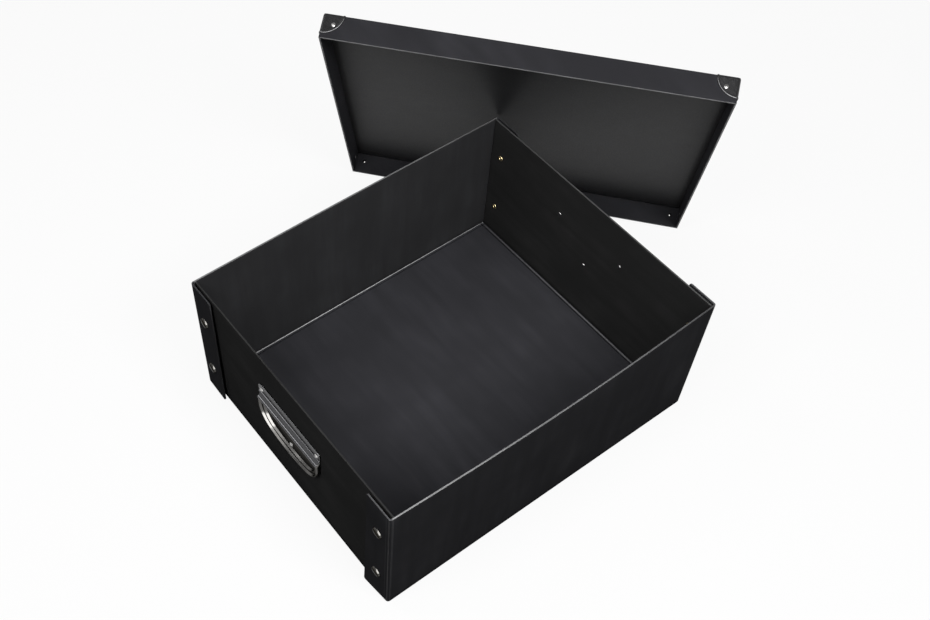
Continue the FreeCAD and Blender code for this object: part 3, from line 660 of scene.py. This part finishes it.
def moon_outline(count):
    """The outline seen from the plate's middle: for each angle, the distance to the edge, in millimetres.
    The lower edge is a shallow arc between two round corners, the sides are straight, and the top is
    level."""
    centre, rise = PLATE_HALF - PLATE_CORNER, PLATE_LOW + PLATE_CORNER + PLATE_BOW
    sweep = (centre ** 2 + PLATE_BOW ** 2) / (2 * PLATE_BOW) + PLATE_CORNER
    lean = np.arctan2(centre, sweep - PLATE_CORNER - PLATE_BOW)
    arc = np.linspace(-lean, lean, 160)
    low_arc = np.stack([sweep * np.sin(arc), PLATE_LOW + sweep - sweep * np.cos(arc)], axis=1)
    turn = np.linspace(np.pi / 2 - lean, 0, 80)
    bend = np.stack([centre + PLATE_CORNER * np.cos(turn), rise - PLATE_CORNER * np.sin(turn)], axis=1)
    side = np.stack([np.full(40, PLATE_HALF), np.linspace(rise, PLATE_TOP, 42)[1:-1]], axis=1)
    top = np.stack([np.linspace(PLATE_HALF, -PLATE_HALF, 121), np.full(121, PLATE_TOP)], axis=1)
    right = np.concatenate([bend, side])
    loop = np.concatenate([low_arc, right, top, (right * (-1, 1))[::-1]]) - (0, PLATE_MIDDLE)
    angle, reach = np.arctan2(loop[:, 1], loop[:, 0]), np.linalg.norm(loop, axis=1)
    order = np.argsort(angle)
    wanted = np.linspace(-np.pi, np.pi, count, endpoint=False)
    return wanted, np.interp(wanted, angle[order], reach[order], period=2 * np.pi)


moon_reach = moon_outline(PLATE_ANGLES)[1]
print("half moon's reach from its middle:", moon_reach.min().round(1), "to", moon_reach.max().round(1))

# %% Finger plates
ROLL, STEP_RISE, RIM_DROP, RIM_FOOT, LEDGE_DROP, LEDGE_FOOT = 1.4, 2.3, 1.7, 2.7, 6.4, 7.4
LIP_LEVEL, LIP_FADE, PLATE_EDGE = -9.0, 5.0, 0.3
PLATE_RINGS = np.concatenate([np.linspace(0, ROLL, 10), [1.65, 1.7, 1.75, 2.65, 2.7, 2.75, 4.0, 6.3, 6.37],
                              [6.4, 6.43, 7.37, 7.4, 7.45, 9.0, 11.0, 15.0]])


def step(distance, outer, crest, drop, inner, high):
    """A step: an ellipse's quarter up from the outer distance to the crest, level to the drop, and then a
    straight wall down to the inner distance."""
    rise = np.sqrt(np.clip(1 - ((crest - distance) / (crest - outer)) ** 2, 0, 1)) * (distance > outer)
    wall = np.clip((inner - distance) / (inner - drop), 0, 1)
    return high * np.where(distance < crest, rise, wall)


def finger_plate(sign):
    """A polar grid with its rings at set distances from the edge, lifted off the wall by the sheet, the
    ledge and the rim on top of it."""
    angle, reach = moon_outline(PLATE_ANGLES)
    inner = np.linspace(0.8, 0.1, 6)[:, None] * (reach - PLATE_RINGS[-1])
    rings = np.concatenate([reach - PLATE_RINGS[:, None], inner])
    from_edge = reach - rings
    height = PLATE_MIDDLE + rings * np.sin(angle)
    shown = np.clip((LIP_LEVEL - height) / LIP_FADE, 0, 1)
    rims = (step(from_edge, 0, ROLL, RIM_DROP, RIM_FOOT, STEP_RISE)
            + step(from_edge, 0, ROLL, LEDGE_DROP, LEDGE_FOOT, STEP_RISE))
    out = PLATE_SHEET * edge_round(from_edge, PLATE_EDGE) + rims * shown
    seat, level = PLATE_SEAT / MM, HANDLE_Z / MM
    points = np.stack([rings * np.cos(angle), sign * (seat + out), level + height], axis=-1)
    tips = [[0, sign * (seat + PLATE_SHEET), level + PLATE_MIDDLE], [0, sign * seat, level + PLATE_MIDDLE]]
    index = np.arange(rings.size).reshape(rings.shape)
    index = np.concatenate([index, index[:, :1]], axis=1)
    groups = [quads(index)[:, ::-1], fan(index[-1], rings.size), fan(index[0], rings.size + 1)[:, ::-1]]
    points = np.concatenate([points.reshape(-1, 3), tips]) * MM
    return points, groups if sign < 0 else turn_over(groups), np.zeros(len(points))


for end, sign in ENDS:
    make_piece(f"{end}_half_moon", finger_plate(sign), f"{end}_wall", [f"{end}_finger_plate"],
               moon_nickel)

# %% [markdown]
# Handle rivets
#
# Two rivets hold the strip and the plate together, and one more holds the plate's foot. Outside each has a
# low domed head. Inside the box it shows its tail, spread and dimpled by the tool that set it. Two separate
# buttons would look alike, but a lathe profile for head, shank and tail is one real rivet, right through
# the stack.

# %% Rivets
def rivet_profile(head, rise, stack):
    """From the tail's dimple out over its spread edge, up the shank through the stack, and over the
    head."""
    tail = [(0, -stack - 0.4), (0.8, -stack - 0.55), (1.3, -stack - 0.7), (2.05, -stack - 0.6),
            (2.4, -stack - 0.3), (2.3, -stack), (1.5, -stack), (1.5, 0), (head - 0.1, 0), (head, 0.12)]
    return np.concatenate([tail, dome(head, rise, 0.12)]) * MM


HEAD, HEAD_RISE, GRIP_STACK, PLATE_STACK = 2.65, 1.15, 3.5, 2.6
GRIP_RIVET = rivet_profile(HEAD, HEAD_RISE, GRIP_STACK)
PLATE_RIVET = rivet_profile(HEAD, HEAD_RISE, PLATE_STACK)
GRIP_ACROSS, PLATE_DROP, RIVET_SIDES = 47 * MM, 42 * MM, 28
for end, sign in ENDS:
    face = sign * (STRIP_SEAT + STRIP_SHEET)
    pair = join([turned(GRIP_RIVET, (x, face, HANDLE_Z), sign * Y, RIVET_SIDES)
                 for x in (-GRIP_ACROSS, GRIP_ACROSS)])
    make_piece(f"{end}_strip_rivets", pair, f"{end}_wall", [f"{end}_grip_rivets"],
               handle_rivet_steel)
    foot = turned(PLATE_RIVET, (0, sign * STRIP_SEAT, HANDLE_Z - PLATE_DROP), sign * Y, RIVET_SIDES)
    make_piece(f"{end}_lower_rivet", foot, f"{end}_wall", [f"{end}_plate_rivet"],
               handle_rivet_steel)
print("rivet length:", np.ptp(GRIP_RIVET[:, 1]).round(5))

# %% [markdown]
# How the lid leans
#
# The lid is a shallow tray of the same board. It stands on one long side and leans on the far corner of the
# box. It could be modelled in place, but then every formula would carry the lean. It is worked out lying
# flat instead, with X along its length, Y towards its left side and Z up, and one turn carries the points
# into place, so the finished meshes still sit at the origin.

# %% Where the lid stands
LID_TURN, LID_LEAN = np.radians((39.8, 22.0))
LID_X = np.array([np.cos(LID_TURN), np.sin(LID_TURN), 0])
LID_AWAY = np.array([-np.sin(LID_TURN), np.cos(LID_TURN), 0])
LID_Y = np.sin(LID_LEAN) * LID_AWAY - np.cos(LID_LEAN) * Z
LID_Z = np.cos(LID_LEAN) * LID_AWAY + np.sin(LID_LEAN) * Z
LID_TOP = np.mean(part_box("lid_panel"), axis=0) + LID_Z * BOARD / 2


def on_lid(shape):
    """Carries a shape from the flat lid to where it leans: each point is its three distances along the
    lid's own axes, from the middle of the lid's top."""
    points, groups, wear_and_painted_light = shape
    return LID_TOP + points @ np.stack([LID_X, LID_Y, LID_Z]), groups, wear_and_painted_light


print("middle of the lid's top:", LID_TOP.round(4))

# %% [markdown]
# The lid's panel and skirts
#
# The panel has a skirt folded down along each side, and the skirts' cut edges show as a pale line round the
# lid's mouth. A box with one face deleted would have no thickness and no folds. The same panel formula as
# the walls gives the top with a slight crown, and four skirts that each turn down from it in a tight
# quarter turn.

# %% Lid panel and skirts
LID_LONG, LID_SHORT, SKIRT, LID_FOLD, LID_CROWN = 204 * MM, 169 * MM, 27 * MM, 1.2 * MM, 0.6 * MM
SKIRT_MOUTH_RUB, SKIRT_END_RUB = 0.56, 0.15
panel_x, panel_y = LID_LONG - LID_FOLD, LID_SHORT - LID_FOLD
lid_top = board((-panel_x, -panel_y, -BOARD / 2), X, Z, 2 * panel_y * Y, 2 * panel_x, counts=(50, 40),
                bow=LID_CROWN)
make_piece("lid_top", on_lid(lid_top), "lid", ["lid_panel"], lid_board)
skirts = {"left": (X, Y, LID_LONG, LID_SHORT), "right": (X, -Y, LID_LONG, LID_SHORT),
          "rear": (Y, X, LID_SHORT - BOARD, LID_LONG), "front": (Y, -X, LID_SHORT - BOARD, LID_LONG)}
for side, (lengthways, outward, half, reach) in skirts.items():
    start = (reach - LID_FOLD) * outward - half * lengthways - BOARD / 2 * Z
    skirt = board(start, outward, -Z, 2 * half * lengthways, 0.0, SKIRT - LID_FOLD, LID_FOLD - BOARD / 2,
                  edges=(SEAM, CUT, CUT, CUT), counts=(20, 60),
                  worn_and_lit=(0, SKIRT_MOUTH_RUB, SKIRT_END_RUB, SKIRT_END_RUB))
    make_piece(f"lid_{side}_side", on_lid(skirt), "lid", [f"lid_{side}_skirt"], skirt_board)
print("lid:", 2 * LID_LONG, "by", 2 * LID_SHORT, "by", SKIRT)

# %% [markdown]
# Lid corners
#
# Each corner of the lid wears a small cap, pressed from one disc of thin steel into three quarter rounds
# that meet over the corner, with the free edge rolled. Cutting an eighth of a rounded cube with a ball
# would leave ragged faces. A grid of distances and angles does it cleanly: three right angles of it go once
# round the corner, and a rounded cube's formula eases the folds between the three faces.

# %% Lid corner caps
CAP_REACH, CAP_SHEET, CAP_ROUND, CAP_ROLL, CAP_ROLL_RISE = 22 * MM, 0.6 * MM, 1.7 * MM, 1.1 * MM, 0.4 * MM
CAP_EDGE, CAP_CLEAR, CAP_ANGLES = 0.35 * MM, 0.02 * MM, 96
CAP_GAPS = np.array([0, 0.12, 0.3, 0.5, 0.7, 0.9, 1.1, 1.35, 1.6, 1.9, 2.2, 2.6]) * MM


def corner_cap(toward):
    """Points at a distance from the lid's corner and an angle round it, on three faces that meet there. A
    point nearer to an edge than the round is pulled on to a cylinder or ball of that radius. The rolled
    edge is a half round ridge along the border."""
    reach = np.concatenate([CAP_REACH - CAP_GAPS, np.linspace(18.5, 1.0, 14) * MM])[:, None]
    angle = np.linspace(0, 1.5 * np.pi, CAP_ANGLES, endpoint=False)[None, :]
    face = np.floor(angle / (np.pi / 2) + 1e-9).astype(int)
    within = (angle - face * np.pi / 2)[..., None]
    first, second = np.eye(3)[face % 3], np.eye(3)[(face + 1) % 3]
    flat = reach[..., None] * (np.cos(within) * first + np.sin(within) * second)
    flat = np.concatenate([flat.reshape(-1, 3), np.zeros((1, 3))])
    near = np.maximum(CAP_ROUND - flat, 0)
    outward = -near / np.linalg.norm(near, axis=1, keepdims=True)
    eased = flat + near + CAP_ROUND * outward
    gap = np.append(np.repeat(CAP_REACH - reach[:, 0], angle.size), CAP_REACH)[:, None]
    roll = CAP_ROLL_RISE * np.sqrt(np.clip(1 - ((gap - CAP_ROLL) / CAP_ROLL) ** 2, 0, 1))
    lift = CAP_SHEET * edge_round(gap, CAP_EDGE) + roll
    skin = np.concatenate([eased + lift * outward, eased + CAP_CLEAR * outward])
    pole = reach.size * angle.size
    index = np.arange(pole).reshape(reach.size, -1)
    index = np.concatenate([index, index[:, :1]], axis=1)
    under = index + pole + 1
    under[0] = index[0]
    groups = [quads(index)[:, ::-1], fan(index[-1], pole), quads(under),
              fan(under[-1], 2 * pole + 1)[:, ::-1]]
    inward = np.array([-toward[0], -toward[1], -1.0])
    corner = np.array([toward[0] * LID_LONG, toward[1] * LID_SHORT, 0])
    groups = turn_over(groups) if np.prod(inward) > 0 else groups
    return corner + skin * inward, groups, np.zeros(len(skin))


for end, ahead in ENDS:
    for side, sign in SIDES:
        make_piece(f"lid_{end}_{side}_cap", on_lid(corner_cap((ahead, -sign))), "lid",
                   [f"lid_{end}_{side}_corner"], corner_steel)

# %% [markdown]
# Lid rivets
#
# One rivet through each wing of a corner cap holds it to the skirt, eight in all. Outside it is a bright
# round head, and inside the lid a small tail. The same lathe makes it, from a smaller profile, because
# these heads are the brightest points of the lid and need a true dome to throw a round glint.

# %% Lid rivets
LID_TAIL = [(0, -2.6), (1.9, -2.6), (2.0, -2.2), (1.5, -1.9), (1.5, 0), (2.1, 0), (2.3, 0.18)]
LID_RIVET = np.concatenate([LID_TAIL, dome(2.3, 0.87, 0.18)]) * MM
RIVET_IN, RIVET_DOWN, LID_RIVET_SIDES = 12 * MM, 11.5 * MM, 24
for side, (lengthways, outward, half, reach) in skirts.items():
    full = LID_LONG if side in ("left", "right") else LID_SHORT
    seats = [(reach + CAP_SHEET) * outward + sign * (full - RIVET_IN) * lengthways - RIVET_DOWN * Z
             for sign in (-1, 1)]
    pair = join([turned(LID_RIVET, seat, outward, LID_RIVET_SIDES) for seat in seats])
    make_piece(f"lid_{side}_studs", on_lid(pair), "lid", [f"lid_{side}_rivets"],
               lid_rivet_steel)
print("lid rivet head across:", 2 * LID_RIVET[:, 0].max())

# %% [markdown]
# The hidden halves of the studs
#
# Between a flap and an end wall, each stud has a post on the wall and a socket on the flap. They show only
# when an end wall folds in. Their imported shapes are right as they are, turned steel with a neck that snaps,
# so they stay and only take the studs' plating.

# %% Posts and sockets
for node in sorted(set(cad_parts) - dressed):
    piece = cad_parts[node]
    piece.data.materials.clear()
    piece.data.materials.append(stud_nickel)
    print(f"{node}: {len(piece.data.polygons)} faces, plated")

# %% [markdown]
# The studio floor
#
# The box is shown on a plain white floor with a faint shadow. A brightly lit floor would throw white light
# up the black walls. Instead the floor's own light is mostly for the eye: rays from the camera and from
# reflections see it near white, with some real paint mixed in so that the shadow stays, and bounced light
# meets a dark grey paint.

# %% Studio floor
def looked_at(tree):
    """1 for a ray from the camera, a reflection or a view through something, and 0 for light that
    bounces."""
    rays = add(tree, "ShaderNodeLightPath").outputs
    seen = combine(tree, "MAXIMUM", rays["Is Camera Ray"], rays["Is Glossy Ray"])
    return combine(tree, "MAXIMUM", seen, rays["Is Transmission Ray"])


FLOOR_REACH, FLOOR_LEVEL, FLOOR_GLOW = 6.0, -0.5 * MM, 0.91
BOUNCE_GREY, FLOOR_WHITE = (0.12, 0.12, 0.12), (0.8, 0.8, 0.8)
corners = np.array([(-1, -1), (1, -1), (1, 1), (-1, 1)]) * FLOOR_REACH
floor_mesh = bpy.data.meshes.new("studio_floor")
corners = np.pad(corners, ((0, 0), (0, 1)), constant_values=FLOOR_LEVEL)
floor_mesh.from_pydata(corners.tolist(), [], [(0, 1, 2, 3)])
studio_floor = bpy.data.objects.new("studio_floor", floor_mesh)
bpy.context.scene.collection.objects.link(studio_floor)
studio_white, tree, shader = new_material("studio_white")
shader.inputs["Roughness"].default_value = 0.9
shader.inputs["Specular IOR Level"].default_value = 0.0
seen = looked_at(tree)
tree.links.new(blend_colours(tree, seen, BOUNCE_GREY, FLOOR_WHITE), shader.inputs["Base Color"])
glow = add(tree, "ShaderNodeEmission", Strength=1.0)
mix = add(tree, "ShaderNodeMixShader")
tree.links.new(combine(tree, "MULTIPLY", seen, FLOOR_GLOW), mix.inputs["Fac"])
tree.links.new(shader.outputs["BSDF"], mix.inputs[1])
tree.links.new(glow.outputs["Emission"], mix.inputs[2])
tree.links.new(mix.outputs["Shader"], tree.nodes["Material Output"].inputs["Surface"])
floor_mesh.materials.append(studio_white)
print("studio floor:", 2 * FLOOR_REACH, "metres across")

# %% [markdown]
# The white surround
#
# Past the floor the studio is white all round, and dimmer overhead, so the metal shows a bright horizon and
# a greyer ceiling. Four white walls could stand there, but they would cast light back. The world does it:
# white for the camera and for reflections, and only a weak fill for everything else.

# %% Surround
FILL, CEILING, DIMMING_HEIGHTS = 0.07, 0.3, (0.35, 0.8)
world = bpy.data.worlds.new("studio_surround")
bpy.context.scene.world = world
world.use_nodes = True
tree = world.node_tree
place = add(tree, "ShaderNodeTexCoord")
split = add(tree, "ShaderNodeSeparateXYZ")
tree.links.new(place.outputs["Generated"], split.inputs["Vector"])
white = remap(tree, split.outputs["Z"], DIMMING_HEIGHTS, (1.0, CEILING))
strength = remap(tree, looked_at(tree), (0, 1), (FILL, 1.0))
tree.links.new(white.outputs["Result"], strength.inputs["To Max"])
background = tree.nodes["Background"]
background.inputs["Color"].default_value = (1, 1, 1, 1)
tree.links.new(strength.outputs["Result"], background.inputs["Strength"])
print("fill light:", FILL, "ceiling seen as", CEILING)

# %% [markdown]
# Lamps
#
# A dark box needs light from more than one side, or its corners go solid black. A lamp in front and one on
# the right stand so high that the near walls shade the near corner of the floor, as in the photograph, and
# a weaker one overhead opens the shadows. A small lamp on the left draws the thin lines on the grip strip.
# The last two are a photographer's cards: only reflections see them, and they put the long flash on the
# finger plate's rim, which fades to the right, without lighting the board.

# %% Soft lamps
def soft_lamp(name, place, aim, width, height, power, on_board=True, in_metal=True):
    """A rectangle that glows evenly and looks at its aim. It can light the board, or show in metal, or
    both."""
    data = bpy.data.lights.new(name, "AREA")
    data.shape, data.size, data.size_y, data.energy = "RECTANGLE", width, height, power
    lamp = bpy.data.objects.new(name, data)
    lamp.location = place
    lamp.visible_diffuse, lamp.visible_glossy, lamp.visible_camera = on_board, in_metal, False
    lamp.rotation_euler = (Vector(aim) - Vector(place)).to_track_quat("-Z", "Y").to_euler()
    bpy.context.scene.collection.objects.link(lamp)
    print(f"{name}: {power} W from {place}")


soft_lamp("front_softbox", (0.1, -0.9, 1.32), (0, 0, 0), 0.5, 0.5, 8.7, in_metal=False)
soft_lamp("right_softbox", (0.92, 0.05, 1.31), (0, 0, 0), 0.5, 0.5, 13.4)
soft_lamp("overhead_softbox", (0.1, 0.0, 1.6), (0, 0, 0), 0.6, 0.6, 5.0)
soft_lamp("left_kicker", (-0.75, -0.55, 1.4), (0, 0, 0.1), 0.4, 0.4, 3.4)
soft_lamp("bright_card", (0.82, -0.77, 0.86), (0, -0.2, 0.1), 1.1, 1.9, 52, on_board=False)
soft_lamp("dim_card", (-0.06, -0.8, 1.4), (0, -0.2, 0.1), 1.0, 0.7, 4.5, on_board=False)

# %% [markdown]
# The camera
#
# The photograph looks down steeply over the near corner, from the right of the front. The view could be
# found by dragging the camera about. It was worked out instead from the box's corners in the picture, which
# gave a bearing, a height above the horizon, a slight roll, and a centre of view off the middle of the
# frame, which the lens shift carries.

# %% Camera
IMAGE_WIDTH, IMAGE_HEIGHT, SENSOR = 930, 620, 36.0
FOCAL_PIXELS, CENTRE_X, CENTRE_Y = 1171.6, 355.2, 355.6
CAMERA_PLACE = (0.53177, -0.49512, 1.07555)
BEARING, ELEVATION, ROLL = np.radians((54.595, 54.468, 0.8206))
level = np.array([np.cos(BEARING), np.sin(BEARING), 0])
forward = np.cos(ELEVATION) * np.array([-np.sin(BEARING), np.cos(BEARING), 0]) - np.sin(ELEVATION) * Z
down = np.cross(forward, level)
right = np.cos(ROLL) * level + np.sin(ROLL) * down
below = np.cos(ROLL) * down - np.sin(ROLL) * level
lens = bpy.data.cameras.new("studio_camera")
lens.sensor_width = SENSOR
lens.lens = FOCAL_PIXELS / IMAGE_WIDTH * SENSOR
lens.shift_x = (IMAGE_WIDTH / 2 - CENTRE_X) / IMAGE_WIDTH
lens.shift_y = (CENTRE_Y - IMAGE_HEIGHT / 2) / IMAGE_WIDTH
camera = bpy.data.objects.new("studio_camera", lens)
turn = Matrix(np.stack([right, -below, -forward], axis=1).tolist()).to_4x4()
camera.matrix_world = Matrix.Translation(CAMERA_PLACE) @ turn
bpy.context.scene.collection.objects.link(camera)
bpy.context.scene.camera = camera
bpy.context.scene.view_settings.view_transform = "Standard"
print("lens:", round(lens.lens, 1), "mm, shift", round(lens.shift_x, 4), round(lens.shift_y, 4))
